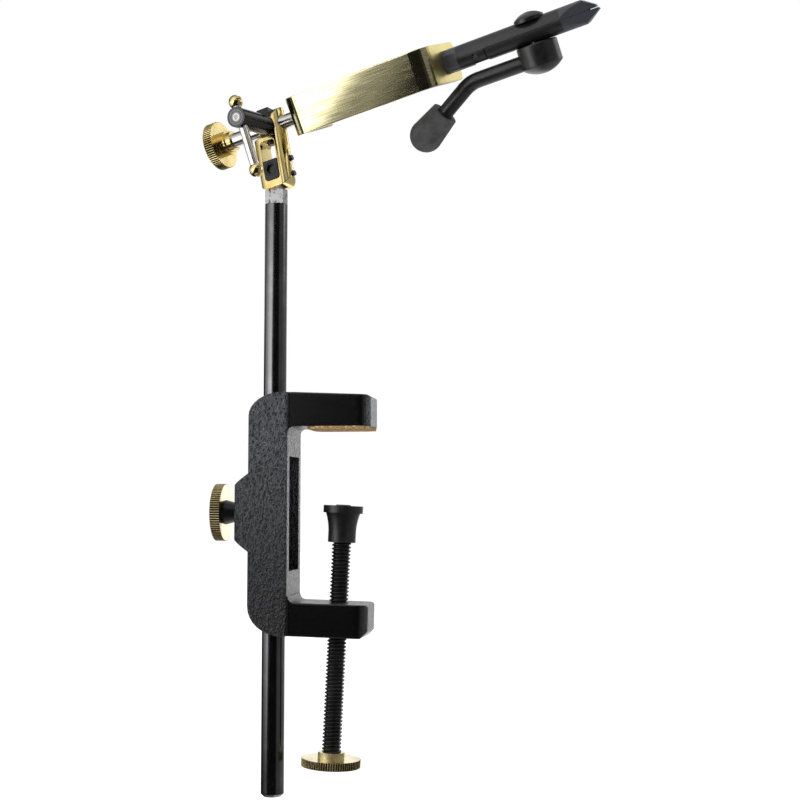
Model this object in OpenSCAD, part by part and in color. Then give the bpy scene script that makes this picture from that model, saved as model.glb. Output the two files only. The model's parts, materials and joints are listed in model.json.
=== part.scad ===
// Fly tying vise with a C-clamp, a sliding stem, a tilting rotary head and cam jaws.
// Millimetres, +Z up. The origin is the centre of the cork pad's underside,
// which rests on the table. +X points from the stem to the jaws.

/* [Stem] */
// Diameter of the stem rod
stem_d = 9.525; // [8:0.025:11]
// Length of the stem rod
stem_len = 244.8; // [200:0.1:300]
// Height of the rod's top above the table face
stem_top = 95.4; // [80:0.1:110]
// Distance from the stem to the middle of the cork pad
stem_back = 28.6; // [27:0.1:34]
// Radial gap between the stem and its bore
stem_fit = 0.05; // [0.03:0.01:0.1]
// Chamfer at the foot of the stem
stem_chamfer = 1.1; // [0.5:0.1:2]
// Thickness of the flat tongue on the stem
tang_t = 3.6; // [3.2:0.1:3.8]
// Width of the tongue at the pivot
tang_w = 6.6; // [6:0.1:6.7]
// Height of the tongue's wide root
tang_root_h = 6.2; // [4:0.1:7]
// Height of the pivot above the rod
pivot_rise = 14.5; // [14:0.1:18]

/* [Clamp frame] */
// Distance from the stem's centre to the spine's back
spine_back = 7.7; // [7.4:0.1:9]
// Distance from the stem's centre to the spine's inner face
spine_front = 8.3; // [8:0.1:10]
// Width of the spine
spine_w = 28.6; // [26:0.1:34]
// Width of the arms
arm_w = 25; // [20:0.1:25.8]
// Reach of the arms from the stem's centre
arm_reach = 41.9; // [40:0.1:46]
// Thickness of the upper arm at its root
upper_t = 14; // [12:0.1:18]
// Thickness of the upper arm at its end
upper_end_t = 12.8; // [10:0.1:13.5]
// Thickness of the lower arm
lower_t = 13.4; // [12:0.1:16]
// Height of the throat between the table face and the lower arm
throat_h = 70.2; // [68:0.1:90]
// Length of the spine's rounded top corner
top_corner = 14.2; // [8:0.1:15]
// Height of the spine's rounded top corner
top_corner_h = 9.7; // [5:0.1:12]
// Length of the spine's rounded bottom corner
bottom_corner = 14; // [8:0.1:15]
// Height of the spine's rounded bottom corner
bottom_corner_h = 12; // [5:0.1:14]
// Radius of the arm ends seen from above
end_r = 5; // [2:0.1:8]
// Radius of the fillets at the roots of the arms
root_r = 2.5; // [1:0.1:4]
// Rounding of the frame's edges
edge_r = 1.6; // [1:0.1:2]
// Half width of the window in the spine
window_half_w = 9.2; // [7:0.1:10]
// Distance from the window's top to the table face
window_top = 11; // [10:0.1:15]
// Distance from the window's bottom to the table face
window_bottom = 57.7; // [53:0.1:61]
// Depth of the window behind the stem's centre
window_depth = 5.6; // [5:0.05:6]
// Depth of the boss behind the spine
boss_t = 6.6; // [5:0.1:8]
// Height of the boss's flat outer face
boss_flat_h = 21.7; // [16:0.1:23]
// Height of the boss where it meets the spine
boss_h = 31.8; // [28:0.1:36]
// Reach of the lower arm from the stem's centre
lower_reach = 40.8; // [39:0.1:44]
// Lean of the lower arm, front end down
arm_lean = 1.6; // [0:0.1:3]
// Lean of the clamp screw
screw_lean = 2.7; // [0:0.1:3]

/* [Cork pad] */
// Thickness of the cork pad
cork_t = 1.1; // [0.8:0.1:3]
// Length of the cork pad
cork_len = 26; // [20:0.1:28]

/* [Lock screw] */
// Depth of the lock screw below the table face
lock_z = 33.9; // [32:0.1:36]
// Diameter of the lock screw's thread
lock_screw_d = 6.35; // [5:0.05:7]
// Diameter of the lock knob
lock_knob_d = 23.7; // [18:0.1:30]
// Thickness of the lock knob
lock_knob_t = 4.1; // [3:0.1:6]
// Diameter of the lock screw's hub at the knob
lock_hub_d = 10.3; // [9:0.1:12]
// Diameter of the lock screw's hub at the boss
lock_neck_d = 7.2; // [7.1:0.1:8.5]
// Length of the lock screw's hub
lock_hub_len = 5.5; // [4:0.1:8]

/* [Clamp screw] */
// Outer diameter of the clamp screw
screw_d = 7.94; // [7:0.02:8.5]
// Distance from the stem's centre to the clamp screw at the lower arm
screw_reach = 27; // [26:0.1:30]
// Distance from the lower arm's mid-plane to the cup's top
cup_rise = 46.3; // [44:0.1:60]
// Distance from the lower arm's mid-plane to the middle of the clamp knob
knob_drop = 57.9; // [50:0.1:70]
// Diameter of the clamp knob
clamp_knob_d = 24.2; // [20:0.1:30]
// Thickness of the clamp knob
clamp_knob_t = 3.3; // [2.4:0.1:5]
// Diameter of the hub on the clamp knob
clamp_hub_d = 10.9; // [10:0.1:13]
// Height of the hub on the clamp knob
clamp_hub_h = 2.6; // [2:0.1:6]

/* [Cup] */
// Diameter of the cup's rim
cup_rim_d = 16.3; // [14:0.1:20]
// Thickness of the cup's rim
cup_rim_t = 3; // [2:0.1:4]
// Diameter of the cup below its rim
cup_neck_d = 14.2; // [13:0.1:15]
// Diameter of the cup's waist
cup_waist_d = 11.4; // [11:0.1:12]
// Height of the cup
cup_h = 15; // [13:0.1:15.5]

/* [Knurls] */
// Width of one knurl tooth on the knobs
knurl_pitch = 1; // [0.9:0.05:1.6]
// Depth of the knurl
knurl_depth = 0.35; // [0.2:0.05:0.5]

/* [Yoke] */
// Swing of the head about the stem, away from straight ahead
head_swing = 18.5; // [0:0.5:30]
// Rise of the jaws at rest
head_tilt = 11.2; // [0:0.5:20]
// Width of the yoke across its two limbs
yoke_w = 15.3; // [15:0.1:17]
// Thickness of the yoke's two limbs
limb_t = 4.2; // [4:0.05:4.25]
// Thickness of the yoke's floor
yoke_t = 3.2; // [3:0.05:3.25]
// Thickness of the yoke's roof
roof_t = 1.7; // [1.5:0.1:2.2]
// Depth of the yoke from near face to far face
yoke_depth = 8.6; // [8.2:0.1:10]
// Distance from the pivot to the outside of the yoke's bottom
yoke_drop = 7.8; // [7.7:0.1:9]
// Distance from the pivot to the top of the yoke's roof
yoke_roof = 14.5; // [14:0.1:14.8]
// Distance from the pivot up to the rotary shaft's centre
axis_rise = 19.4; // [19.2:0.1:21]
// Distance from the shaft's centre to the top of the tall leg
leg_above = 6.8; // [5.5:0.1:7]
// Outer corner radius of the yoke
yoke_corner_r = 4.6; // [2:0.1:5]
// Depth of the pivot block from near face to far face
block_depth = 9.5; // [9:0.1:12]
// Height of the pivot block above the pivot
block_above = 3.9; // [3.8:0.05:6]
// Diameter of the pivot screw's shank
pivot_screw_d = 3; // [2.5:0.1:3.4]

/* [Bearing block] */
// Width of the bearing block along the shaft
bearing_w = 5.5; // [4.9:0.1:6]
// Depth of the bearing block from near face to far face
bearing_depth = 10; // [9.5:0.1:12]
// Height of the bearing block
bearing_h = 11.9; // [10.5:0.1:13]

/* [Tommy screw] */
// Diameter of the tommy screw's body
tommy_d = 8.3; // [7:0.1:9]
// Distance from the shaft's centre to the tommy screw's end face
tommy_reach = 28.5; // [28.3:0.1:32]
// Distance from the end face to the tommy bar
tommy_bar_in = 3.5; // [3:0.1:3.6]
// Turn of the tommy screw about the shaft, near end down
tommy_roll = 5.9; // [0:0.1:6]
// Diameter of the tommy screw's thread
tommy_thread_d = 3.5; // [3:0.1:3.6]
// Lean of the tommy bar at rest
tommy_lean = 5; // [0:0.1:10]
// Diameter of the tommy bar
tommy_bar_d = 3.8; // [2.5:0.1:4.2]
// Distance between the two ball centres
tommy_bar_len = 29.7; // [26:0.1:32]
// Diameter of the balls
ball_d = 5.8; // [5:0.1:6.2]

/* [Rotary shaft and knob] */
// Diameter of the rotary shaft
shaft_d = 6.2; // [5.5:0.1:6.4]
// Radial gap between the shaft and its bearings
shaft_fit = 0.05; // [0.02:0.01:0.1]
// Distance from the pivot back to the middle of the rotary knob
knob_back = 25.45; // [24:0.05:30]
// Diameter of the rotary knob
knob_d = 20.4; // [18:0.1:24]
// Thickness of the rotary knob
knob_t = 4; // [3:0.1:6]
// Diameter of the knob's hub
knob_hub_d = 10.4; // [9.5:0.1:12]
// Diameter of the step at the hub's front
knob_step_d = 8.6; // [8.2:0.1:9.4]
// Length of the hub
knob_hub_len = 5.6; // [5:0.1:8]

/* [Crank arm] */
// Width of the crank arm's bar
crank_w = 15.6; // [14:0.1:16]
// Thickness of the crank arm's bar
crank_t = 3.6; // [3:0.1:4]
// Distance from the yoke to the crank arm
crank_gap = 10.9; // [10:0.1:16]
// Length of the crank arm
crank_len = 65.7; // [60:0.1:75]
// Offset of the crank arm's web from the shaft
crank_offset = 20; // [18.5:0.1:20.5]
// Reach of the crank arm's legs past the shaft
crank_past = 14.8; // [12:0.1:16]
// Outer radius of the crank arm's bends
crank_bend_r = 7; // [5:0.1:8]
// Roll of the crank arm about the shaft at rest
crank_roll = 21; // [0:1:45]

/* [Jaws] */
// Diameter of the jaw barrel
jaw_d = 9.5; // [9:0.1:11]
// Length of the jaws from the crank arm to the tip
jaw_len = 65.4; // [62:0.1:75]
// Length of the tapered nose
nose_len = 15.2; // [12:0.1:18]
// Length of the steep end of the nose
point_len = 6.4; // [5:0.1:8]
// Width of the nose at the tip
tip_w = 2.2; // [1.6:0.1:3]
// Length of the wrench flats at the root
flats_len = 6; // [4:0.1:8]
// Width across the wrench flats
flats_w = 8.2; // [8:0.1:8.8]
// Distance from the crank arm to the cam's centre
cam_reach = 37.6; // [36:0.1:42]
// Gap between the closed jaws
jaw_gap = 0.1; // [0.05:0.01:0.15]

/* [Cam and lever] */
// Diameter of the cam body
cam_d = 16.4; // [14:0.1:18]
// Height of the cam body
cam_h = 8.5; // [8.2:0.1:10]
// Diameter of the cam bolt's cap
cap_d = 12; // [10:0.1:13]
// Height of the cap above the barrel's centre
cap_rise = 7.6; // [7.4:0.1:8.5]
// Diameter of the lever rod
lever_d = 6.3; // [5:0.1:6.8]
// Distance from the cam's centre to the lever's bend
lever_reach = 30.4; // [26:0.1:34]
// Depth of the lever rod below the barrel's centre
lever_drop = 10.5; // [10.2:0.1:11]
// Angle of the lever's bend
lever_angle = 29.5; // [10:0.5:35]
// Distance from the bend to the mouth of the grip
grip_reach = 16.5; // [16:0.1:24]
// Diameter of the grip's mouth
grip_mouth_d = 11.2; // [9:0.1:11.5]
// Diameter of the grip's wide end
grip_end_d = 13.6; // [12:0.1:16]
// Length of the grip's cone
grip_len = 12.1; // [10:0.1:16]

/* [Hidden] */
$fn = 64;
arc_steps = 8;

// Shared clearances and the overrun of every cut
cut = 1;
fit = 0.05;
gap = 0.3;
pad_gap = 0.1;
seat_gap = 0.02;

// Stem and pivot
stem_x = -stem_back;
stem_r = stem_d / 2;
stem_foot = stem_top - stem_len;
pivot_z = stem_top + pivot_rise;
tang_seat = 0.05;
tang_hole_r = pivot_screw_d / 2 + fit;
spigot_d = 2.2;
spigot_len = 6;
tang_shoulder = 0.3;

// Clamp frame
back_x = stem_x - spine_back;
front_x = stem_x + spine_front;
end_x = stem_x + arm_reach;
top_z = cork_t + upper_t;
upper_end_z = cork_t + upper_end_t;
lower_mid = -throat_h - lower_t / 2;
bottom_z = -throat_h - lower_t;
arm_root = top_corner - spine_back;
arm_out = lower_reach - spine_front;
end_chamfer = 2.6;
end_chamfer_h = 2.6;
boss_x = back_x - boss_t;
boss_r = 4.5;

// Lock screw, its pad and its knob
lock_r = lock_screw_d / 2;
lock_pad_t = 1.6;
lock_pad_r = lock_r - fit;
lock_pad_x = stem_x - stem_r - pad_gap;
lock_tip_x = lock_pad_x - lock_pad_t - fit;
lock_face_x = boss_x - gap * 2;
lock_hub_x = lock_face_x - lock_hub_len;
lock_stub = lock_knob_t - fit;
pin_r = 0.8;

// Clamp screw and cup
screw_r = screw_d / 2;
screw_x = screw_reach - spine_front;
thread_fit = 0.08;
tip_r = 2.4;
tip_head_r = 3.1;
tip_head_h = 0.9;
tip_proud = 0.4;
cup_floor = 4.2;
cup_socket_r = screw_r + gap / 2;
screw_top = cup_rise - cup_floor;
screw_foot = -knob_drop - clamp_knob_t / 2;

// Yoke: the pivot is the head's own origin
yoke_half = yoke_w / 2;
window_half = yoke_half - limb_t;
yoke_floor = yoke_t - yoke_drop;
yoke_ceiling = yoke_roof - roof_t;
tang_slot = tang_t / 2 + fit * 2;
tilt_play = 0.3;
slot_top = tang_w / 4;
leg_r = yoke_depth / 2;
leg_top = axis_rise + leg_above;
inner_r = 1.4;
block_half = window_half - seat_gap;
block_foot = yoke_floor + seat_gap;
pivot_head_r = 2.75;
pivot_head_h = 2;
hex_r = 2.3;
nut_h = 1.6;
side_screw_r = 0.8;
side_head_r = 1.3;
side_head_h = 1.25;
side_screw_high = 3.4;
side_spot_x = yoke_half - 0.25;

// Bearing block
bearing_x = window_half - seat_gap - bearing_w;
bearing_z = yoke_roof + seat_gap;
bearing_screw_r = 1;
bearing_screw_stop = 0.6;
bearing_screw_x = bearing_x + bearing_w / 3;
bearing_head_r = 1.9;
bearing_head_h = 1.1;

// Tommy screw
tommy_x = 1.2;
tommy_r = tommy_d / 2;
tommy_thread_r = tommy_thread_d / 2;
drag_pad_t = 0.7;
drag_pad_y = shaft_d / 2 + fit;
tommy_tip = drag_pad_y + drag_pad_t + fit;
tommy_shoulder = bearing_depth / 2 + gap * 2;
tommy_bar_y = tommy_reach - tommy_bar_in;
tommy_bar_fit = 0.05;
ball_r = ball_d / 2;
ball_top = tommy_r + ball_r + pad_gap / 2;
ball_bottom = ball_top - tommy_bar_len;
centre_dot_r = 1.1;

// Rotary shaft and knob
shaft_r = shaft_d / 2;
knob_x = -knob_back - knob_t / 2;
knob_hub_x = -knob_back + knob_t / 2;
hub_step_share = 0.55;
knob_wall = 1;
shaft_rear = knob_x + knob_wall;
crank_x = yoke_half + crank_gap;
stud_r = 2.5;
washer_r = 5;
washer_t = 1;
nut_r = 4.6;
shaft_nut_h = 3;
shaft_front = crank_x + crank_t + washer_t + shaft_nut_h;
set_screw_r = 1.25;

// Crank arm and jaws: x from the pivot, y away from the web, z across the bar
crank_end = crank_x + crank_len;
crank_half = crank_w / 2;
bend_inner_r = crank_bend_r - crank_t;
leg_end_r = 2.5;
jaw_x = crank_end + seat_gap;
jaw_r = jaw_d / 2;
jaw_stud_r = 2.6;
jaw_nut_h = 3.2;
jaw_tip = crank_end + jaw_len;
nose_x = jaw_tip - nose_len;
point_x = jaw_tip - point_len;
tip_high = 1.3;
tip_low = 0.8;
tip_back = 1.2;
hinge_share = 0.208;
hinge_x = jaw_x + hinge_share * jaw_len;
hinge_z = -1.5;
hinge_pin_r = 1;
tongue_w = 4;
tongue_r = 2.1;
split_x = hinge_x + tongue_r * 2;
cam_x = crank_end + cam_reach;
bolt_r = 2.2;
cap_seat = 3.9;
cap_dome = 2.3;
spring_x = split_x + (cam_x - split_x) / 2;
spring_r = 1.3;
spring_wire = 0.5;
spring_deep = 2.2;

// Cam, lever and grip
cam_r = cam_d / 2;
cam_top = -jaw_r - gap / 2;
cam_foot = cam_top - cam_h;
cam_dome = 3.3;
cam_bolt_end = cam_foot + cam_dome / 2;
lever_r = lever_d / 2;
lever_bend_r = 14;
lever_root = cam_r - lever_r;
grip_round = grip_end_d / 2;
grip_mouth_deep = 1.6;
grip_recess_r = lever_r + gap;

// Points along an arc in a plane, from angle a0 to angle a1
function arc(x, z, r, a0, a1) = oval(x, z, r, r, a0, a1);

// Points along an oval with half axes rx and rz
function oval(x, z, rx, rz, a0, a1) =
    [for (i = [0 : arc_steps]) let (a = a0 + (a1 - a0) * i / arc_steps) [x + rx * cos(a), z + rz * sin(a)]];

// Points of a shallow dome over a round of radius r, from its rim at height z to its top
function dome(r, z, rise) = let (q = (r * r + rise * rise) / rise / 2, a = asin(r / q))
    [for (i = [0 : arc_steps]) let (b = a * (1 - i / arc_steps)) [q * sin(b), z + q * cos(b) - q * cos(a)]];

// Outline of a straight knurl
function knurl(r) = let (n = round(2 * PI * r / knurl_pitch))
    [for (i = [0 : 2 * n - 1]) let (a = 180 * i / n, q = r - (i % 2) * knurl_depth) [q * cos(a), q * sin(a)]];

// Stands an outline in X and Z on the XZ plane, spread evenly to both sides in Y
module side_prism(points, half) {
    rotate([90, 0, 0])
        translate([0, 0, -half])
            linear_extrude(half * 2)
                polygon(points);
}

// Round bar or hole along +X from x0 to x1
module bar_x(x0, x1, r, r2 = 0) {
    translate([x0, 0, 0])
        rotate([0, 90, 0])
            cylinder(h = x1 - x0, r1 = r, r2 = r2 == 0 ? r : r2);
}

// Round bar or hole along -Y from y0 to y1, both counted towards the viewer
module bar_near(y0, y1, r) {
    translate([0, -y0, 0])
        rotate([90, 0, 0])
            cylinder(h = y1 - y0, r = r);
}

// Places the lower arm's own frame: its root on the spine, x along the arm
module at_lower_arm() {
    translate([front_x, 0, lower_mid])
        rotate([0, arm_lean, 0])
            children();
}

// Places the clamp screw's own frame, z along the screw
module at_screw() {
    at_lower_arm() translate([screw_x, 0, 0]) rotate([0, screw_lean - arm_lean, 0]) children();
}

// Places the head's own frame: origin at the pivot, x along the rotary shaft
module at_head() {
    translate([stem_x, 0, pivot_z])
        rotate([0, 0, -head_swing])
            rotate([0, -head_tilt, 0])
                children();
}

// Places the rotary shaft's frame at rest, rolled with the crank arm
module at_shaft() {
    at_head() translate([0, 0, axis_rise]) rotate([crank_roll, 0, 0]) children();
}

// Places the tommy screw's frame: y from the shaft's centre, away from the viewer
module at_tommy() {
    at_head() translate([tommy_x, 0, axis_rise]) rotate([tommy_roll, 0, 0]) children();
}

// Places the tommy bar's frame, z along the bar
module at_bar() {
    at_tommy() translate([0, -tommy_bar_y, 0]) rotate([0, -tommy_lean, 0]) children();
}

// Clamp

// Spine seen from the side, with the boss on its back
module spine() {
    spine_side = concat(
        oval(back_x + top_corner, top_z - top_corner_h, top_corner, top_corner_h, 90, 180),
        [[back_x, -lock_z + boss_h / 2],
         [boss_x, -lock_z + boss_flat_h / 2],
         [boss_x, -lock_z - boss_flat_h / 2],
         [back_x, -lock_z - boss_h / 2]],
        oval(back_x + bottom_corner, bottom_z + bottom_corner_h, bottom_corner, bottom_corner_h, 180, 270),
        [[front_x, bottom_z], [front_x, top_z]]);
    half = spine_w / 2;
    spine_plan = concat(
        arc(front_x - edge_r, half - edge_r, edge_r, 0, 90),
        arc(boss_x + boss_r, half - boss_r, boss_r, 90, 180),
        arc(boss_x + boss_r, boss_r - half, boss_r, 180, 270),
        arc(front_x - edge_r, edge_r - half, edge_r, 270, 360));
    intersection() {
        side_prism(spine_side, half);
        translate([0, 0, bottom_z - cut])
            linear_extrude(top_z - bottom_z + cut * 2)
                polygon(spine_plan);
    }
}

// Arm seen from above, from inside the spine to its rounded end
module arm_plan(x0, x1, z0, z1) {
    half = arm_w / 2;
    plan = concat(
        arc(x1 - end_r, half - end_r, end_r, 90, 0),
        arc(x1 - end_r, end_r - half, end_r, 0, -90),
        [[x0, -half], [x0, half]]);
    translate([0, 0, z0])
        linear_extrude(z1 - z0)
            polygon(plan);
}

module upper_arm() {
    arm_side = concat(
        [[stem_x + arm_root, top_z]],
        [[front_x + root_r, top_z]],
        arc(end_x - edge_r, upper_end_z - edge_r, edge_r, 90, 0),
        [[end_x, cork_t]],
        [[front_x + root_r, cork_t]],
        arc(front_x + root_r, cork_t - root_r, root_r, 90, 180),
        [[stem_x + arm_root, cork_t - root_r]]);
    intersection() {
        side_prism(arm_side, arm_w);
        arm_plan(stem_x, end_x, cork_t - root_r - cut, top_z + cut);
    }
}

module lower_arm() {
    half = lower_t / 2;
    arm_side = concat(
        [[-spine_front / 2, half + root_r]],
        [[0, half + root_r]],
        arc(root_r, half + root_r, root_r, 180, 270),
        arc(arm_out - edge_r, half - edge_r, edge_r, 90, 0),
        [[arm_out, end_chamfer_h - half],
         [arm_out - end_chamfer, -half],
         [0, -half],
         [-spine_front / 2, edge_r - half]]);
    at_lower_arm() intersection() {
        side_prism(arm_side, arm_w);
        arm_plan(-spine_front, arm_out, -half - cut, half + root_r + cut);
    }
}

module clamp_frame() {
    color("dimgray") difference() {
        union() {
            spine();
            upper_arm();
            lower_arm();
        }
        translate([stem_x, 0, bottom_z - cut])
            cylinder(h = top_z - bottom_z + cut * 2, r = stem_r + stem_fit);
        translate([stem_x - window_depth, -window_half_w, -window_bottom])
            cube([window_depth + spine_front + cut, window_half_w * 2, window_bottom - window_top]);
        translate([0, 0, -lock_z]) bar_x(boss_x - cut, stem_x, lock_r + fit);
        at_screw() translate([0, 0, -lower_t])
            cylinder(h = lower_t * 2, r = screw_r + thread_fit);
    }
}

module cork_pad() {
    half = arm_w / 2;
    x1 = cork_len / 2;
    plan = concat(
        arc(x1 - end_r, half - end_r, end_r, 90, 0),
        arc(x1 - end_r, end_r - half, end_r, 0, -90),
        arc(end_r - x1, end_r - half, end_r, 270, 180),
        arc(end_r - x1, half - end_r, end_r, 180, 90));
    color("goldenrod") linear_extrude(cork_t) polygon(plan);
}

// Lock screw group, along X behind the stem

module lock_pad() {
    color("gold") translate([0, 0, -lock_z])
        bar_x(lock_pad_x - lock_pad_t, lock_pad_x, lock_pad_r);
}

module lock_screw() {
    color("black") translate([0, 0, -lock_z]) difference() {
        union() {
            bar_x(lock_face_x, lock_tip_x, lock_r);
            bar_x(lock_hub_x, lock_face_x, lock_hub_d / 2, lock_neck_d / 2);
            bar_x(lock_hub_x - lock_stub, lock_hub_x, lock_r);
        }
        translate([lock_hub_x - lock_knob_t / 2, 0, -lock_r - cut])
            cylinder(h = lock_screw_d + cut * 2, r = pin_r);
    }
}

module lock_knob() {
    color("gold") translate([lock_hub_x - lock_knob_t - seat_gap, 0, -lock_z]) difference() {
        rotate([0, 90, 0]) linear_extrude(lock_knob_t) polygon(knurl(lock_knob_d / 2));
        bar_x(-cut, lock_knob_t + cut, lock_r + seat_gap);
        translate([lock_knob_t / 2 + seat_gap, 0, -lock_knob_d / 4])
            cylinder(h = lock_knob_d / 2, r = pin_r);
    }
}

module lock_knob_pin() {
    color("silver") translate([lock_hub_x - lock_knob_t / 2, 0, -lock_z - lock_knob_d / 4])
        cylinder(h = lock_knob_d / 2, r = pin_r);
}

// Clamp screw group, along the leaning screw

module cup() {
    half = cup_rim_d / 2;
    color("black") at_screw() translate([0, 0, cup_rise]) difference() {
        union() {
            translate([0, 0, -cup_rim_t])
                cylinder(h = cup_rim_t, r = half);
            translate([0, 0, -cup_h]) rotate_extrude() polygon(cup_waist());
        }
        translate([0, 0, -cup_floor])
            cylinder(h = cup_floor + cut, r = tip_r + fit);
        translate([0, 0, -tip_head_h])
            cylinder(h = tip_head_h + cut, r = tip_head_r + gap / 2);
        translate([0, 0, -cup_h - cut])
            cylinder(h = cup_h - cup_floor + cut + fit, r = cup_socket_r);
    }
}

// Half outline of the cup below its rim, on its own foot
function cup_waist() =
    let (r0 = cup_waist_d / 2, r1 = cup_neck_d / 2, h = cup_h - cup_rim_t)
    concat([[0, 0], [r0, 0]],
        [for (i = [0 : arc_steps]) let (s = i / arc_steps)
            [r0 + (r1 - r0) * s * s, h * (1 + s * 2) / 3]],
        [[0, h]]);

module clamp_screw() {
    color("black") at_screw() difference() {
        union() {
            translate([0, 0, screw_foot])
                cylinder(h = screw_top - screw_foot, r = screw_r);
            translate([0, 0, screw_top - fit])
                cylinder(h = cup_floor - tip_head_h + fit * 2, r = tip_r);
            translate([0, 0, cup_rise - tip_head_h + fit])
                cylinder(h = tip_head_h + tip_proud - fit, r1 = tip_head_r, r2 = tip_head_r - tip_proud);
        }
        translate([0, 0, -knob_drop]) rotate([90, 0, 0])
            cylinder(h = screw_d + cut * 2, r = pin_r, center = true);
    }
}

module clamp_knob() {
    color("gold") at_screw() translate([0, 0, screw_foot]) difference() {
        union() {
            linear_extrude(clamp_knob_t) polygon(knurl(clamp_knob_d / 2));
            cylinder(h = clamp_knob_t + clamp_hub_h, r = clamp_hub_d / 2);
        }
        translate([0, 0, -cut])
            cylinder(h = clamp_knob_t + clamp_hub_h + cut * 2, r = screw_r + seat_gap);
        translate([0, 0, clamp_knob_t / 2]) rotate([90, 0, 0])
            cylinder(h = clamp_knob_d * 3 / 4, r = pin_r, center = true);
    }
}

module clamp_knob_pin() {
    color("silver") at_screw() translate([0, 0, -knob_drop]) rotate([90, 0, 0])
        cylinder(h = clamp_knob_d * 3 / 4, r = pin_r, center = true);
}

// Stem

module stem_rod() {
    color("darkslategray") translate([stem_x, 0, stem_foot]) {
        cylinder(h = stem_chamfer, r1 = stem_r - stem_chamfer, r2 = stem_r);
        translate([0, 0, stem_chamfer])
            cylinder(h = stem_len - stem_chamfer, r = stem_r);
        translate([0, 0, stem_len])
            cylinder(h = spigot_len, r = spigot_d / 2);
    }
}

// Flat tongue: wide root on the rod, narrower round-ended tip at the pivot
module stem_tang() {
    tip_half = tang_w / 2;
    root_top = -pivot_rise + tang_root_h;
    shape = concat(
        arc(0, 0, tip_half, 0, 180),
        [[-tip_half, root_top + tang_shoulder],
         [-stem_r * cos(asin(tang_t / stem_d)), root_top],
         [-stem_r * cos(asin(tang_t / stem_d)), tang_seat - pivot_rise],
         [stem_r * cos(asin(tang_t / stem_d)), tang_seat - pivot_rise],
         [stem_r * cos(asin(tang_t / stem_d)), root_top],
         [tip_half, root_top + tang_shoulder]]);
    color("silver") translate([stem_x, 0, pivot_z]) rotate([0, 0, -head_swing]) difference() {
        side_prism(shape, tang_t / 2);
        bar_near(-tang_t, tang_t, tang_hole_r);
        translate([0, 0, -pivot_rise - cut])
            cylinder(h = spigot_len + fit * 2 + cut, r = spigot_d / 2 + fit);
    }
}

// Head, all in the frame of the pivot

module yoke() {
    outer = concat(
        arc(yoke_half - yoke_corner_r, yoke_corner_r - yoke_drop, yoke_corner_r, 270, 360),
        [[yoke_half, leg_top], [window_half, leg_top], [window_half, yoke_roof]],
        arc(edge_r - yoke_half, yoke_roof - edge_r, edge_r, 90, 180),
        arc(yoke_corner_r - yoke_half, yoke_corner_r - yoke_drop, yoke_corner_r, 180, 270));
    window = concat(
        arc(window_half - inner_r, yoke_floor + inner_r, inner_r, 270, 360),
        arc(window_half - inner_r, yoke_ceiling - inner_r, inner_r, 0, 90),
        arc(inner_r - window_half, yoke_ceiling - inner_r, inner_r, 90, 180),
        arc(inner_r - window_half, yoke_floor + inner_r, inner_r, 180, 270));
    leg_end = concat(
        arc(0, leg_top - leg_r, leg_r, 0, 180),
        [[-leg_r, -yoke_drop - cut], [leg_r, -yoke_drop - cut]]);
    color("gold") at_head() difference() {
        intersection() {
            side_prism(outer, yoke_depth);
            translate([-yoke_w, 0, 0]) rotate([90, 0, 90]) linear_extrude(yoke_w * 2) polygon(leg_end);
            translate([0, 0, -yoke_drop - cut]) {
                for (side = [-1, 1])
                    translate([side * (yoke_half - leg_r), 0, 0])
                        cylinder(h = yoke_drop + leg_top + cut * 2, r = leg_r);
                translate([leg_r - yoke_half, -leg_r, 0])
                    cube([yoke_w - yoke_depth, yoke_depth, yoke_drop + leg_top + cut * 2]);
            }
        }
        side_prism(window, yoke_depth);
        translate([-yoke_w, -tang_slot, -yoke_drop - cut])
            cube([yoke_w + window_half, tang_slot * 2, yoke_drop + cut + slot_top]);
        translate([0, 0, axis_rise]) bar_x(0, yoke_w, shaft_r + shaft_fit);
        for (side = [-1, 1])
            translate([0, 0, side_screw_high * side]) {
                bar_x(0, yoke_w, side_screw_r + seat_gap);
                bar_x(side_spot_x, yoke_w, side_head_r + fit);
            }
        translate([bearing_screw_x, 0, yoke_ceiling - cut])
            cylinder(h = roof_t + cut * 2, r = bearing_screw_r + seat_gap);
    }
}

module pivot_block() {
    outline = concat(
        arc(block_half - inner_r, block_foot + inner_r, inner_r, 270, 360),
        [[block_half, block_above], [-block_half, block_above]],
        arc(inner_r - block_half, block_foot + inner_r, inner_r, 180, 270));
    color("black") at_head() difference() {
        side_prism(outline, block_depth / 2);
        translate([-yoke_w, -tang_slot, -yoke_drop])
            cube([yoke_w * 2, tang_slot * 2, yoke_drop + tang_w / 2 + tilt_play]);
        bar_near(-block_depth, block_depth, pivot_screw_d / 2 + seat_gap);
        bar_near(block_depth / 2 - pivot_head_h, block_depth, pivot_head_r + seat_gap);
        bar_near(-block_depth, nut_h - block_depth / 2, pivot_head_r + seat_gap);
    }
}

module pivot_screw() {
    color("black") at_head() difference() {
        union() {
            bar_near(nut_h / 2 - block_depth / 2, block_depth / 2 - pivot_head_h / 2, pivot_screw_d / 2);
            bar_near(block_depth / 2 - pivot_head_h, block_depth / 2 - gap / 2, pivot_head_r);
        }
        rotate([90, 0, 0]) translate([0, 0, block_depth / 2 - pivot_head_h * 3 / 4])
            cylinder(h = pivot_head_h, r = hex_r, $fn = 6);
    }
}

module pivot_nut() {
    color("silver") at_head() difference() {
        bar_near(gap - block_depth / 2, nut_h - block_depth / 2 - seat_gap, pivot_head_r);
        bar_near(-block_depth, 0, pivot_screw_d / 2 + seat_gap);
    }
}

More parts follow.
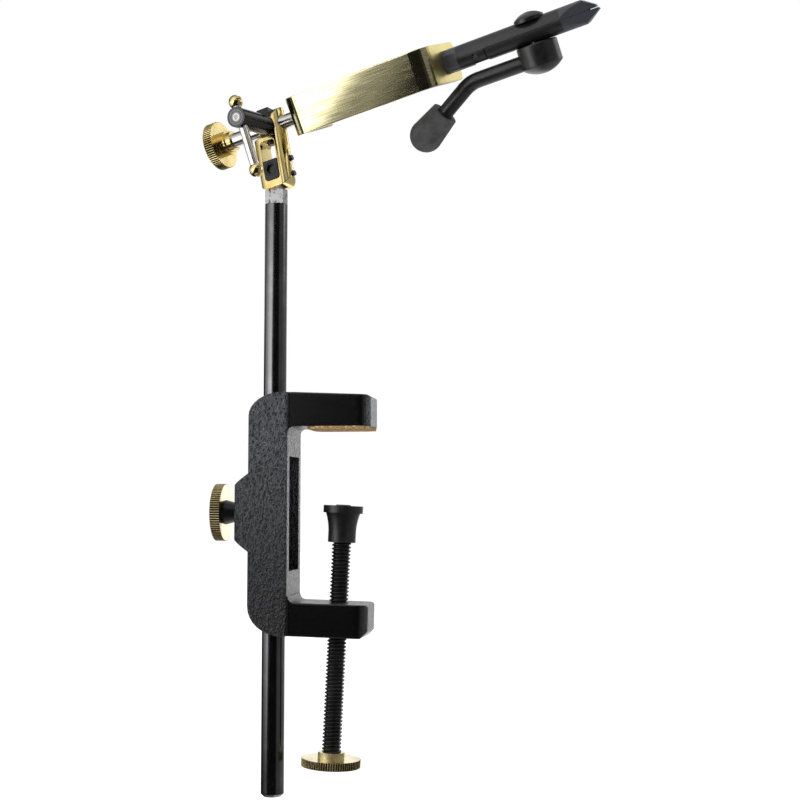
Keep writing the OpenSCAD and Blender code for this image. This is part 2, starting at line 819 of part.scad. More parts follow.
// Two screws through the tall leg, above and below the pivot, up to the side of the pivot block
module block_screws() {
    color("dimgray") at_head()
        for (side = [-1, 1])
            translate([0, 0, side_screw_high * side]) {
                bar_x(window_half, side_spot_x + fit, side_screw_r);
                bar_x(side_spot_x + seat_gap, side_spot_x + side_head_h, side_head_r, side_head_r * 5 / 6);
            }
}

module bearing_block() {
    half = bearing_depth / 2;
    color("black") at_head() difference() {
        translate([bearing_x, -half, bearing_z])
            cube([bearing_w, bearing_depth, bearing_h]);
        translate([0, 0, axis_rise]) bar_x(bearing_x - cut, yoke_half, shaft_r + shaft_fit);
        translate([tommy_x, 0, axis_rise]) rotate([tommy_roll, 0, 0])
            bar_near(0, bearing_depth, tommy_thread_r + fit);
        translate([bearing_screw_x, 0, bearing_z - cut])
            cylinder(h = axis_rise - shaft_r - bearing_z, r = bearing_screw_r + seat_gap);
    }
}

module bearing_screw() {
    color("dimgray") at_head() translate([bearing_screw_x, 0, 0]) {
        translate([0, 0, yoke_ceiling - bearing_head_h / 2])
            cylinder(h = axis_rise - shaft_r - bearing_screw_stop - yoke_ceiling, r = bearing_screw_r);
        translate([0, 0, yoke_ceiling - bearing_head_h - seat_gap])
            cylinder(h = bearing_head_h, r1 = bearing_head_r * 3 / 4, r2 = bearing_head_r);
    }
}

// Tommy screw group

module drag_pad() {
    color("gold") at_tommy() bar_near(drag_pad_y, drag_pad_y + drag_pad_t, tommy_thread_r);
}

module tommy_screw() {
    color("black") at_tommy() difference() {
        union() {
            bar_near(tommy_tip, tommy_shoulder + cut, tommy_thread_r);
            bar_near(tommy_shoulder, tommy_reach, tommy_r);
        }
        bar_near(tommy_reach - centre_dot_r, tommy_reach + cut, centre_dot_r);
        translate([0, -tommy_bar_y, 0]) rotate([0, -tommy_lean, 0])
            cylinder(h = tommy_d * 2, r = tommy_bar_d / 2 + tommy_bar_fit, center = true);
    }
}

module tommy_bar() {
    color("silver") at_bar() translate([0, 0, ball_bottom])
        cylinder(h = tommy_bar_len, r = tommy_bar_d / 2);
}

module tommy_balls() {
    color("gold") at_bar() difference() {
        for (z = [ball_top, ball_bottom])
            translate([0, 0, z]) sphere(r = ball_r);
        translate([0, 0, ball_bottom])
            cylinder(h = tommy_bar_len, r = tommy_bar_d / 2 + seat_gap);
    }
}

// Rotary shaft, its knob and the crank arm

module rotary_shaft() {
    color("silver") at_shaft() difference() {
        union() {
            bar_x(shaft_rear, crank_x - seat_gap, shaft_r);
            bar_x(crank_x - seat_gap * 2, shaft_front, stud_r);
        }
        translate([-knob_back, 0, shaft_r - edge_r / 4])
            cylinder(h = shaft_r, r = set_screw_r + fit);
    }
}

module rotary_knob() {
    step = knob_hub_len * hub_step_share;
    color("gold") at_shaft() difference() {
        union() {
            translate([knob_x, 0, 0]) rotate([0, 90, 0])
                linear_extrude(knob_t) polygon(knurl(knob_d / 2));
            bar_x(knob_hub_x, knob_hub_x + step, knob_hub_d / 2);
            bar_x(knob_hub_x, knob_hub_x + knob_hub_len, knob_step_d / 2);
        }
        bar_x(knob_x + knob_wall - seat_gap, 0, shaft_r + seat_gap);
        translate([-knob_back, 0, 0])
            cylinder(h = knob_d, r = set_screw_r + seat_gap);
    }
}

module knob_set_screw() {
    color("black") at_shaft() translate([-knob_back, 0, shaft_r - edge_r / 4 + seat_gap])
        cylinder(h = knob_d / 2 - shaft_r - edge_r / 2, r = set_screw_r);
}

// Flat bar bent to a U, seen along its width
module crank_arm() {
    x0 = crank_x;
    x1 = crank_end;
    y0 = -crank_offset;
    outline = concat(
        [[x0 + crank_t, crank_past], [x0, crank_past]],
        arc(x0 + crank_bend_r, y0 + crank_bend_r, crank_bend_r, 180, 270),
        arc(x1 - crank_bend_r, y0 + crank_bend_r, crank_bend_r, 270, 360),
        [[x1, crank_past], [x1 - crank_t, crank_past]],
        arc(x1 - crank_bend_r, y0 + crank_bend_r, bend_inner_r, 360, 270),
        arc(x0 + crank_bend_r, y0 + crank_bend_r, bend_inner_r, 270, 180));
    across = concat(
        arc(crank_past - leg_end_r, crank_half - leg_end_r, leg_end_r, 0, 90),
        [[y0 - cut, crank_half], [y0 - cut, -crank_half]],
        arc(crank_past - leg_end_r, leg_end_r - crank_half, leg_end_r, 270, 360));
    color("gold") at_shaft() difference() {
        intersection() {
            translate([0, 0, -crank_half]) linear_extrude(crank_w) polygon(outline);
            translate([x0 - cut, 0, 0]) rotate([90, 0, 90]) linear_extrude(crank_len + cut * 2) polygon(across);
        }
        bar_x(x0 - cut, x0 + crank_t + cut, stud_r + seat_gap);
        bar_x(x1 - crank_t - cut, x1 + cut, jaw_stud_r + seat_gap);
    }
}

module shaft_washer() {
    color("silver") at_shaft() difference() {
        bar_x(crank_x + crank_t + seat_gap, crank_x + crank_t + washer_t, washer_r);
        bar_x(crank_x, crank_end, stud_r + seat_gap);
    }
}

module shaft_nut() {
    x0 = crank_x + crank_t + washer_t + seat_gap;
    color("silver") at_shaft() difference() {
        translate([x0, 0, 0]) rotate([0, 90, 0])
            cylinder(h = shaft_nut_h - seat_gap, r = nut_r, $fn = 6);
        bar_x(crank_x, crank_end, stud_r + seat_gap);
    }
}

// Jaws

module jaw_nut() {
    color("black") at_shaft() difference() {
        translate([crank_end - crank_t - jaw_nut_h - seat_gap, 0, 0]) rotate([0, 90, 0])
            cylinder(h = jaw_nut_h, r = nut_r, $fn = 6);
        bar_x(crank_x, crank_end, jaw_stud_r + seat_gap);
    }
}

// Closed barrel with its tapered nose, shared by both jaws
module barrel() {
    flank = [[jaw_x, -jaw_d], [jaw_x, jaw_d], [nose_x, jaw_d], [nose_x, jaw_r],
        [jaw_tip, tip_w / 2], [jaw_tip, -tip_w / 2], [nose_x, -jaw_r], [nose_x, -jaw_d]];
    profile = [[jaw_x, -jaw_d], [jaw_x, jaw_d], [point_x, jaw_d], [point_x, jaw_r],
        [jaw_tip - tip_back, tip_high], [jaw_tip, -tip_low], [point_x, -jaw_r], [point_x, -jaw_d]];
    intersection() {
        bar_x(jaw_x, jaw_tip + cut, jaw_r);
        translate([0, 0, -jaw_d]) linear_extrude(jaw_d * 2) polygon(flank);
        side_prism(profile, jaw_d);
    }
}

module upper_jaw() {
    color("black") at_shaft() difference() {
        union() {
            barrel();
            bar_x(crank_end - crank_t - jaw_nut_h, jaw_x + fit, jaw_stud_r);
        }
        translate([split_x, -jaw_d, -jaw_d])
            cube([jaw_len, jaw_d * 2, jaw_d + jaw_gap / 2]);
        for (side = [-1, 1])
            translate([jaw_x - cut, side * (flats_w / 2 + jaw_d / 2) - jaw_d / 2, -jaw_d])
                cube([flats_len + cut, jaw_d, jaw_d * 2]);
        translate([hinge_x - tongue_r - gap, -tongue_w / 2 - fit * 2, -jaw_d])
            cube([jaw_len, tongue_w + fit * 4, jaw_d + gap]);
        translate([hinge_x, 0, hinge_z]) bar_near(-jaw_d, jaw_d, hinge_pin_r + seat_gap);
        translate([cam_x, 0, -jaw_d])
            cylinder(h = jaw_d * 2, r = bolt_r + seat_gap);
        translate([cam_x, 0, cap_seat])
            cylinder(h = jaw_d, r = cap_d / 2 + gap);
        translate([spring_x, 0, 0])
            cylinder(h = spring_deep, r = spring_r + fit);
    }
}

module lower_jaw() {
    color("black") at_shaft() difference() {
        union() {
            intersection() {
                barrel();
                translate([split_x + gap, -jaw_d, -jaw_d])
                    cube([jaw_len, jaw_d * 2, jaw_d - jaw_gap / 2]);
            }
            intersection() {
                barrel();
                union() {
                    translate([hinge_x, -tongue_w / 2, hinge_z - tongue_r])
                        cube([split_x - hinge_x + cut, tongue_w, tongue_r - hinge_z - jaw_gap / 2]);
                    translate([hinge_x, 0, hinge_z]) bar_near(-tongue_w / 2, tongue_w / 2, tongue_r);
                }
                translate([jaw_x, -jaw_d, -jaw_d])
                    cube([jaw_len, jaw_d * 2, jaw_d - jaw_gap / 2]);
            }
        }
        translate([hinge_x, 0, hinge_z]) bar_near(-jaw_d, jaw_d, hinge_pin_r + fit);
        translate([cam_x, 0, -jaw_d])
            cylinder(h = jaw_d * 2, r = bolt_r + gap);
        translate([spring_x, 0, -spring_deep])
            cylinder(h = spring_deep, r = spring_r + gap);
    }
}

module jaw_pin() {
    half = sqrt(jaw_r * jaw_r - hinge_z * hinge_z) - edge_r / 4;
    color("silver") at_shaft() translate([hinge_x, 0, hinge_z]) bar_near(-half, half, hinge_pin_r);
}

module jaw_spring() {
    color("silver") at_shaft() translate([spring_x, 0, fit - spring_deep]) difference() {
        cylinder(h = spring_deep * 2 - fit * 2, r = spring_r);
        translate([0, 0, -cut])
            cylinder(h = spring_deep * 2 + cut * 2, r = spring_r - spring_wire);
    }
}

// Domed cap on the upper jaw, with its shank down into the cam
module cam_bolt() {
    cap_r = cap_d / 2;
    outline = concat(
        [[0, cap_seat + seat_gap], [cap_r, cap_seat + seat_gap]],
        dome(cap_r, cap_rise - cap_dome, cap_dome));
    color("black") at_shaft() translate([cam_x, 0, 0]) {
        rotate_extrude() polygon(outline);
        translate([0, 0, cam_bolt_end])
            cylinder(h = cap_seat - cam_bolt_end + cut / 2, r = bolt_r);
    }
}

// Cam, lever and grip, about the cam bolt

module cam_body() {
    outline = concat(
        [for (p = dome(cam_r, 0, cam_dome)) [p.x, cam_foot - p.y]],
        [[0, cam_top], [cam_r - edge_r / 4, cam_top], [cam_r, cam_top - edge_r / 4]]);
    color("black") at_shaft() translate([cam_x, 0, 0]) difference() {
        rotate_extrude() polygon(outline);
        translate([0, 0, cam_bolt_end - fit * 2])
            cylinder(h = cam_h, r = bolt_r + gap + fit * 2);
        translate([0, 0, -lever_drop]) rotate([0, 0, 180])
            bar_x(lever_root, cam_d, lever_r + seat_gap);
    }
}

// Bent round rod: straight, arc, straight, all in the cam's plane
module cam_lever() {
    turn = lever_bend_r * tan(lever_angle / 2);
    color("black") at_shaft() translate([cam_x, 0, -lever_drop]) {
        translate([-lever_reach + turn, 0, 0])
            bar_x(-gap, lever_reach - turn - lever_root - fit, lever_r);
        translate([-lever_reach + turn, 0, -lever_bend_r]) rotate([90, 0, 0]) rotate([0, 0, 90])
            rotate_extrude(angle = lever_angle) translate([lever_bend_r, 0]) circle(r = lever_r + seat_gap);
        translate([-lever_reach, 0, 0]) rotate([0, -lever_angle, 0])
            bar_x(-grip_reach - grip_mouth_deep * 3, gap - turn, lever_r);
    }
}

module lever_grip() {
    mouth_r = grip_mouth_d / 2;
    body = concat(
        [[0, 0], [mouth_r, 0], [grip_round, grip_len]],
        arc(0, grip_len, grip_round, 0, 90));
    color("black") at_shaft() translate([cam_x - lever_reach, 0, -lever_drop])
        rotate([0, -lever_angle, 0]) translate([-grip_reach, 0, 0]) rotate([0, -90, 0]) difference() {
            rotate_extrude() polygon(body);
            translate([0, 0, -cut])
                cylinder(h = grip_mouth_deep + cut, r = grip_recess_r);
            translate([0, 0, -cut])
                cylinder(h = grip_mouth_deep * 3 + fit + cut, r = lever_r + seat_gap);
        }
}

clamp_frame();
cork_pad();
lock_pad();
lock_screw();
lock_knob();
lock_knob_pin();
cup();
clamp_screw();
clamp_knob();
clamp_knob_pin();
stem_rod();
stem_tang();
yoke();
pivot_block();
pivot_screw();
pivot_nut();
block_screws();
bearing_block();
bearing_screw();
drag_pad();
tommy_screw();
tommy_bar();
tommy_balls();
rotary_shaft();
rotary_knob();
knob_set_screw();
crank_arm();
shaft_washer();
shaft_nut();
jaw_nut();
upper_jaw();
jaw_pin();
jaw_spring();
cam_bolt();
lower_jaw();
cam_body();
cam_lever();
lever_grip();
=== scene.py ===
import json
import math

import bpy
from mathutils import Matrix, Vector


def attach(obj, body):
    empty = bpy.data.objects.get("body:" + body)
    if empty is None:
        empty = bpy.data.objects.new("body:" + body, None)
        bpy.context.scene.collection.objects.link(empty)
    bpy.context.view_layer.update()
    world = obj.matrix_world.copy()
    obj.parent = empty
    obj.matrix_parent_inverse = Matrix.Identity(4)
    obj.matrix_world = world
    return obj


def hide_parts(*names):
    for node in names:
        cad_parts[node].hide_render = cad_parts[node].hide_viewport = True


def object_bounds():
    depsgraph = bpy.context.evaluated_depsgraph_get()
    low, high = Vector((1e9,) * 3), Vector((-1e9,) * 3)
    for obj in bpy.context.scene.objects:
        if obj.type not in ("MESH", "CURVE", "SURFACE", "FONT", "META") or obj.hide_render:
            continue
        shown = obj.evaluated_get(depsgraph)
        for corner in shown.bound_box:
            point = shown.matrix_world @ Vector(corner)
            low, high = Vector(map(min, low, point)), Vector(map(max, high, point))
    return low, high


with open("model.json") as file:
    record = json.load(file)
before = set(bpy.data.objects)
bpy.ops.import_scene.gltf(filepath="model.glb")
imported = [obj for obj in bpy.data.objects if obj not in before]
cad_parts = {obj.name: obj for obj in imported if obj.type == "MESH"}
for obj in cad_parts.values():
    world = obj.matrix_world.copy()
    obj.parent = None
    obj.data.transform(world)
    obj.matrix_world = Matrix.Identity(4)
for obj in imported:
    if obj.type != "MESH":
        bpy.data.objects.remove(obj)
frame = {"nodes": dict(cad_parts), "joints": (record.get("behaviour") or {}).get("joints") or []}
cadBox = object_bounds()
nodes = frame["nodes"]
joints = {joint["name"]: joint for joint in frame["joints"]}
scene = bpy.context.scene
print("frame loaded:", len(nodes), "nodes")


# Camera, fitted to the photograph

cameraView = dict(place=(0.1041, -0.570, -0.0314), turn=7.99, pitch=4.34, focus=1400, frame=800)


def addCamera(view):
    lens = bpy.data.cameras.new("photoCamera")
    lens.sensor_width = 36
    lens.lens = view["focus"] * lens.sensor_width / view["frame"]
    lens.clip_start = 0.01
    camera = bpy.data.objects.new("photoCamera", lens)
    camera.location = view["place"]
    camera.rotation_euler = (math.radians(90 + view["pitch"]), 0, math.radians(view["turn"]))
    scene.collection.objects.link(camera)
    scene.camera = camera


addCamera(cameraView)
scene.view_settings.view_transform = "Standard"
print("camera placed")


# Shader maths

class Value:
    # one socket of a shader, so that shader maths reads as maths
    def __init__(self, shader, socket):
        self.shader = shader
        self.socket = socket

    def maths(self, operation, first, second):
        return self.shader.maths(operation, first, second)

    def __add__(self, other):
        return self.maths("ADD", self, other)

    def __radd__(self, other):
        return self.maths("ADD", other, self)

    def __sub__(self, other):
        return self.maths("SUBTRACT", self, other)

    def __rsub__(self, other):
        return self.maths("SUBTRACT", other, self)

    def __mul__(self, other):
        return self.maths("MULTIPLY", self, other)

    def __rmul__(self, other):
        return self.maths("MULTIPLY", other, self)

    def __truediv__(self, other):
        return self.maths("DIVIDE", self, other)

    def __rtruediv__(self, other):
        return self.maths("DIVIDE", other, self)

    def __pow__(self, other):
        return self.maths("POWER", self, other)

    def __rpow__(self, other):
        return self.maths("POWER", other, self)

    def step(self, low, high):
        # 0 below low, 1 above high, smooth between them; low may be the larger
        settings = {"interpolation_type": "SMOOTHSTEP"}
        return self.shader.add("ShaderNodeMapRange", settings, {"Value": self, "From Min": low, "From Max": high})


class Shader:
    def __init__(self, name, surface=None, world=False):
        self.owner = (bpy.data.worlds if world else bpy.data.materials).new(name)
        self.owner.use_nodes = True
        self.tree = self.owner.node_tree
        self.tree.nodes.clear()
        self.output = self.tree.nodes.new("ShaderNodeOutputWorld" if world else "ShaderNodeOutputMaterial")
        if surface is not None:
            self.surface = self.tree.nodes.new("ShaderNodeBsdfPrincipled")
            self.finish(Value(self, self.surface.outputs[0]))
            self.set(surface)

    def add(self, kind, settings=None, inputs=None, output=0):
        # any node: its settings first, then the values or links of its sockets
        node = self.tree.nodes.new(kind)
        for key, value in (settings or {}).items():
            setattr(node, key, value)
        for key, value in (inputs or {}).items():
            self.feed(node.inputs[key], value)
        return Value(self, node.outputs[output])

    def feed(self, socket, value):
        if isinstance(value, Value):
            self.tree.links.new(value.socket, socket)
        else:
            socket.default_value = value

    def set(self, inputs):
        for key, value in inputs.items():
            self.feed(self.surface.inputs[key], value)

    def finish(self, value):
        self.feed(self.output.inputs["Surface"], value)

    def maths(self, operation, first, second=0.0):
        return self.add("ShaderNodeMath", {"operation": operation}, {0: first, 1: second})

    def vector(self, operation, first, second, output="Vector"):
        return self.add("ShaderNodeVectorMath", {"operation": operation}, {0: first, 1: second}, output)

    def mix(self, share, first, second):
        return self.add("ShaderNodeMix", {"data_type": "RGBA"}, {0: share, 6: first, 7: second}, output=2)

    def noise(self, place, scale, detail=2.0, roughness=0.5):
        inputs = {"Vector": place, "Scale": scale, "Detail": detail, "Roughness": roughness}
        return self.add("ShaderNodeTexNoise", {}, inputs)

    def cells(self, place, scale, feature="F1", output="Distance"):
        return self.add("ShaderNodeTexVoronoi", {"feature": feature}, {"Vector": place, "Scale": scale}, output)

    def place(self):
        return self.add("ShaderNodeTexCoord", output="Object")

    def ray(self, kind):
        return self.add("ShaderNodeLightPath", output=kind)

    def split(self, vector):
        node = self.add("ShaderNodeSeparateXYZ", {}, {0: vector}).socket.node
        return [Value(self, node.outputs[key]) for key in ("X", "Y", "Z")]

    def join(self, x, y, z):
        return self.add("ShaderNodeCombineXYZ", {}, {"X": x, "Y": y, "Z": z})

    def facing(self, direction):
        # 1 where the surface faces along a direction or against it, 0 where it lies along it
        normal = self.add("ShaderNodeTexCoord", output="Normal")
        return self.maths("ABSOLUTE", self.vector("DOT_PRODUCT", normal, direction, "Value"))

    def along(self, axes):
        # the place measured along a set of axes from their origin, in metres
        offset = self.vector("SUBTRACT", self.place(), axes["origin"])
        return [self.vector("DOT_PRODUCT", offset, axes[key], "Value") for key in ("x", "y", "z")]

    def softened(self, radius, height, depth):
        # worn round edges, with a fine relief over them
        bevel = self.add("ShaderNodeBevel", {"samples": 6}, {"Radius": radius})
        bump = self.add("ShaderNodeBump", {}, {"Height": height, "Distance": depth, "Normal": bevel})
        self.set({"Normal": bump})


def distance(first, second):
    return (first * first + second * second) ** 0.5


def axesOf(jointName, side=(0, 0, 1)):
    # axes with x along a joint's axis, y and z across it
    joint = joints[jointName]
    x = Vector(joint["axis"]).normalized()
    y = Vector(side).cross(x).normalized()
    return dict(origin=tuple(joint["pos_m"]), x=tuple(x), y=tuple(y), z=tuple(x.cross(y)))


shaftAxes = axesOf("rotary_spin", joints["cam_turn"]["axis"])
tommyAxes = axesOf("tommy_turn")
screwAxes = axesOf("screw_turn", (0, 1, 0))
lockAxes = axesOf("lock_turn")
stemAxes = axesOf("stem_turn", (0, 1, 0))


def colour(red, green, blue):
    # an sRGB colour as seen, given to Blender as light
    return tuple(((c / 255 + 0.055) / 1.055) ** 2.4 if c > 10 else c / 3295 for c in (red, green, blue)) + (1,)


def paint(shader, *names):
    for name in names:
        materials = nodes[name].data.materials
        materials.clear()
        materials.append(shader.owner)


# Frame coat: wrinkled on the spine and smooth on the arms' sides; painted light makes it lighter towards its top,
# and painted shade darkens the wrinkles' hollows

# top is a painted highlight, the coat's colour towards its top where the light falls, blended in over the heights
# in fade; deep is painted shade for the wrinkles' hollows
frameLook = dict(spine=colour(24, 25, 28), top=colour(84, 86, 92), deep=colour(6, 7, 9), arm=colour(8, 8, 10),
                 fade=(-0.085, 0.015), spineEnd=-0.0202, blend=0.0003, rough=0.22, edge=0.0011,
                 wrinkle=1850, stretch=0.65, relief=0.0026, armRelief=0.012)


def frameCoat(look):
    shader = Shader("frameCoat", {"Metallic": 0.0, "IOR": 1.75, "Roughness": look["rough"]})
    x, y, z = shader.split(shader.place())
    onSide = shader.facing((0, 1, 0)).step(0.6, 0.85)
    onSpine = 1 - x.step(look["spineEnd"], look["spineEnd"] + look["blend"]) * onSide
    grain = shader.join(x, y, z * look["stretch"])
    coarse = shader.noise(grain, look["wrinkle"] * 0.3, 1)
    fine = shader.noise(grain, look["wrinkle"], 1)
    worms = shader.cells(grain, look["wrinkle"] * 0.6, "SMOOTH_F1")
    wrinkle = coarse * 0.4 + fine * 0.6 + worms * 0.5
    # painted light: the coat blends from the spine colour low down to the lighter top colour going up, as if lit
    # from above
    crest = shader.mix(z.step(*look["fade"]), look["spine"], look["top"])
    # painted shade: the wrinkles' hollows take the deep colour and their crests the lit colour
    tone = shader.mix(wrinkle.step(0.5, 0.8), look["deep"], crest)
    shader.set({"Base Color": shader.mix(onSpine, look["arm"], tone)})
    height = wrinkle * (look["armRelief"] + onSpine * (1 - look["armRelief"]))
    shader.softened(look["edge"], height, look["relief"])
    return shader


paint(frameCoat(frameLook), "clamp_frame")


# Cork pad: pale crumbs with dark gaps and specks

corkLook = dict(light=colour(240, 204, 148), mid=colour(178, 134, 82), dark=colour(60, 38, 18),
                grain=800, rough=0.75, edge=0.0003, relief=0.00025)


def corkGrain(look):
    shader = Shader("corkGrain", {"Metallic": 0.0, "IOR": 1.4})
    place = shader.place()
    crumb = shader.cells(place, look["grain"], output="Color")
    gap = shader.cells(place, look["grain"], "DISTANCE_TO_EDGE")
    specks = shader.noise(place, look["grain"] * 2.4, 3)
    tone = shader.mix(crumb, look["mid"], look["light"])
    tone = shader.mix(specks.step(0.62, 0.7), tone, look["dark"])
    tone = shader.mix(gap.step(0.12, 0.0) * 0.6, tone, look["dark"])
    shader.set({"Base Color": tone, "Roughness": look["rough"] + specks * 0.2})
    shader.softened(look["edge"], specks * 0.6 + gap.step(0, 0.2), look["relief"])
    return shader


paint(corkGrain(corkLook), "cork_pad")
print("frame and cork finished")


# Polished black steel of the stem, with faint marks of turning

stemLook = dict(tint=colour(104, 103, 105), worn=colour(118, 117, 118), rough=0.17, cloud=160, turning=5200,
                edge=0.0003, relief=0.000008)


def polishedBlack(look, axes):
    shader = Shader("stemBlack", {"Metallic": 1.0})
    x, y, z = shader.along(axes)
    cloud = shader.noise(shader.place(), look["cloud"], 3)
    lines = shader.noise(shader.join(x * look["turning"], y * look["cloud"], z * look["cloud"]), 1.0)
    shader.set({"Base Color": shader.mix(cloud.step(0.45, 0.75), look["tint"], look["worn"]),
                "Roughness": look["rough"] + cloud * 0.06})
    shader.softened(look["edge"], lines, look["relief"])
    return shader


paint(polishedBlack(stemLook, stemAxes), "stem_rod")


# Black oxide of the small parts: satin, grainy, a little lighter where it is worn

oxideLook = dict(deep=colour(22, 22, 24), worn=colour(44, 43, 44), rough=0.3, ior=1.6, edge=0.00025,
                 cloud=190, grain=1500, relief=0.00002)
blockTones = dict(deep=colour(9, 8, 10), worn=colour(30, 29, 30), ior=1.45, rough=0.22)
blackParts = {
    "cup": dict(rough=0.32),
    "lock_screw": {},
    "pivot_block": dict(edge=0.0004, **blockTones),
    "bearing_block": dict(edge=0.0004, **blockTones),
    "pivot_screw": blockTones,
    "block_screws": blockTones,
    "bearing_screw": {},
    "knob_set_screw": {},
    "jaw_nut": {},
    "jaw_pin": dict(deep=colour(24, 24, 26), worn=colour(30, 30, 32), edge=0.0001),
    "cam_body": dict(rough=0.26, edge=0.0005),
    "cam_bolt": dict(rough=0.26),
    "cam_lever": {},
}


def turnedEnd(shader, look, end, tone):
    # the tommy screw's faced end: fine rings, a dark rim and a pale centre drilling
    x, y, z = shader.along(end["axes"])
    span = distance(y, z)
    wave = shader.maths("SINE", span * (2 * math.pi / end["rings"]))
    onEnd = x.step(end["start"] - 0.0002, end["start"]) * shader.facing(end["axes"]["x"]).step(0.5, 0.9)
    tone = shader.mix(onEnd * (0.35 + wave.step(-0.4, 0.9) * 0.65), tone, end["ringTone"])
    tone = shader.mix(span.step(*end["rim"]) * onEnd * 0.7, tone, look["deep"])
    dot = span.step(*end["dot"]) * x.step(end["start"] - 0.0013, end["start"] - 0.0009)
    return shader.mix(dot, tone, end["dotTone"]), wave * onEnd * end["relief"]


def blackOxide(name, changes=None, end=None):
    look = {**oxideLook, **(changes or {})}
    shader = Shader(name, {"Metallic": 0.0, "IOR": look["ior"]})
    place = shader.place()
    cloud = shader.noise(place, look["cloud"], 3)
    grain = shader.noise(place, look["grain"], 3, 0.6)
    height = grain
    tone = shader.mix(cloud.step(0.4, 0.75) * 0.7 + grain.step(0.55, 0.75) * 0.3, look["deep"], look["worn"])
    if end is not None:
        tone, rings = turnedEnd(shader, look, end, tone)
        height = height + rings
    shader.set({"Base Color": tone, "Roughness": look["rough"] + cloud * 0.12})
    shader.softened(look["edge"], height, look["relief"])
    return shader


for partName, partChanges in blackParts.items():
    paint(blackOxide(partName + "_black", partChanges), partName)

tommyOrigin, tommyAxis = Vector(tommyAxes["origin"]), Vector(tommyAxes["x"])
tommyReach = max((vertex.co - tommyOrigin).dot(tommyAxis) for vertex in nodes["tommy_screw"].data.vertices)
tommyEnd = dict(axes=tommyAxes, start=tommyReach - 0.0005, rings=0.0009, relief=1.2, rim=(0.003, 0.004),
                ringTone=colour(136, 136, 138), dot=(0.0019, 0.0013), dotTone=colour(244, 243, 240))
paint(blackOxide("tommyBlack", {**blockTones, "ior": 1.33}, tommyEnd), "tommy_screw")


# Jaws: dark hardened steel with a blue cast

jawLook = dict(root=colour(66, 67, 73), barrel=colour(26, 26, 28), nose=colour(58, 59, 66), hingeBack=0.0136,
               flatsEnd=0.0063, noseStart=0.0502, edge=0.0001, rough=0.36, cloud=220, grain=1700, relief=0.000015)


def jawSteel(look):
    shader = Shader("jawSteel", {"Metallic": 0.0, "IOR": 1.6})
    hinge = Vector(joints["jaw_open"]["pos_m"]) - Vector(shaftAxes["origin"])
    x, y, z = shader.along(shaftAxes)
    x = x - (hinge.dot(Vector(shaftAxes["x"])) - look["hingeBack"])
    place = shader.place()
    cloud = shader.noise(place, look["cloud"], 3)
    grain = shader.noise(place, look["grain"], 3, 0.6)
    tone = shader.mix(x.step(look["flatsEnd"], look["flatsEnd"] - 0.0002), look["barrel"], look["root"])
    tone = shader.mix(x.step(look["noseStart"], look["noseStart"] + 0.0004), tone, look["nose"])
    tone = shader.mix(grain.step(0.5, 0.75) * 0.35, tone, look["root"])
    shader.set({"Base Color": tone, "Roughness": look["rough"] + cloud * 0.12})
    shader.softened(look["edge"], grain + cloud * 0.2, look["relief"])
    return shader


paint(jawSteel(jawLook), "upper_jaw", "lower_jaw")


# Bright steel, with specks where it is bare and unpolished

shaftLook = dict(tint=colour(225, 224, 221), speck=colour(120, 120, 122), rough=0.12, specks=0.1, cloud=260,
                 grain=1500, edge=0.0002, relief=0.00002)
smallLook = {**shaftLook, "rough": 0.2, "specks": 0.3}
tangLook = {**shaftLook, "tint": colour(168, 168, 169), "speck": colour(92, 92, 93), "rough": 0.34,
            "specks": 0.9, "grain": 750, "edge": 0.0003}


def brightSteel(name, look):
    shader = Shader(name, {"Metallic": 1.0})
    place = shader.place()
    spots = shader.noise(place, look["grain"], 3).step(0.5, 0.7) * look["specks"]
    cloud = shader.noise(place, look["cloud"], 3)
    shader.set({"Base Color": shader.mix(spots, look["tint"], look["speck"]),
                "Roughness": look["rough"] + cloud * 0.1 + spots * 0.2})
    shader.softened(look["edge"], cloud + spots, look["relief"])
    return shader


paint(brightSteel("tangSteel", tangLook), "stem_tang")
paint(brightSteel("shaftSteel", shaftLook), "rotary_shaft", "tommy_bar")
paint(brightSteel("smallSteel", smallLook), "shaft_nut", "shaft_washer", "pivot_nut", "jaw_spring",
      "lock_knob_pin", "clamp_knob_pin")
print("steel finished")


# Brass: turned and polished, with painted shade darkening its knurl grooves

# the groove colour is painted shade, the colour of the knurl's hollows where shade falls in them
brassLook = dict(tint=colour(240, 220, 156), deep=colour(222, 192, 120), paintedGrooveShade=colour(30, 24, 14), rough=0.1,
                 rimRough=0, cloud=190, edge=0.00015, turning=0.0005, knurl=0.00035, relief=0.00001)
paleBrass = {**brassLook, "tint": colour(240, 228, 184), "deep": colour(206, 186, 130),
             "paintedGrooveShade": colour(96, 78, 44), "rimRough": 0.4}
knobs = {"rotary_knob": dict(look=brassLook, axes=shaftAxes, rim=0.0102),
         "lock_knob": dict(look=paleBrass, axes=lockAxes, rim=0.01185),
         "clamp_knob": dict(look=paleBrass, axes=screwAxes, rim=0.0121)}


